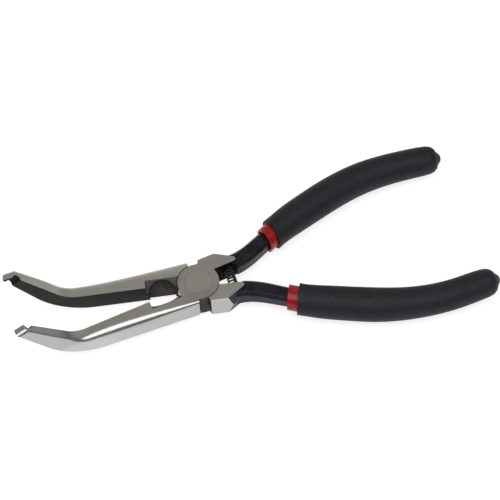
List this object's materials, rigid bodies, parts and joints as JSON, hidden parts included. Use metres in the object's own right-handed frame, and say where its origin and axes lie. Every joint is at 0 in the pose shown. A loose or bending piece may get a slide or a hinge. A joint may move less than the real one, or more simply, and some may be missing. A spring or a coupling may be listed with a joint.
{
  "type": "bent needle nose pliers",
  "caption": "Spring-opened needle nose pliers with forward-bent jaws, grooved lips, lap joint with flush rivet, and sleeved grips over the handle bars.",
  "frame": {"origin": "on the pivot axis, at the flat back of the joint", "axes": "+Z along the pivot from the back to the front of the joint, +X from the joint towards the handles along the line that halves the opening, jaws towards -X with their tips bent towards +Z"},
  "size_m": [0.1987, 0.0838, 0.0331],
  "materials": {
    "steel": "ground, edges polished",
    "spring_steel": "black oxide",
    "red_vinyl": "gloss",
    "black_grip": "fine grained"
  },
  "bodies": {
    "back_body": {"back_half": "steel", "pivot_rivet": "steel", "lower_sleeve": "red_vinyl", "lower_grip": "black_grip", "return_spring": "spring_steel"},
    "front_body": {"front_half": "steel", "upper_sleeve": "red_vinyl", "upper_grip": "black_grip"}
  },
  "joints": [
    {"name": "pivot", "type": "hinge", "parent": "back_body", "child": "front_body", "pos_m": [0, 0, 0.0055], "axis": [0, 0, 1], "range_deg": [-18.1, 25], "stiffness_Nm_per_rad": 0.5, "deforming": ["return_spring"]}
  ]
}
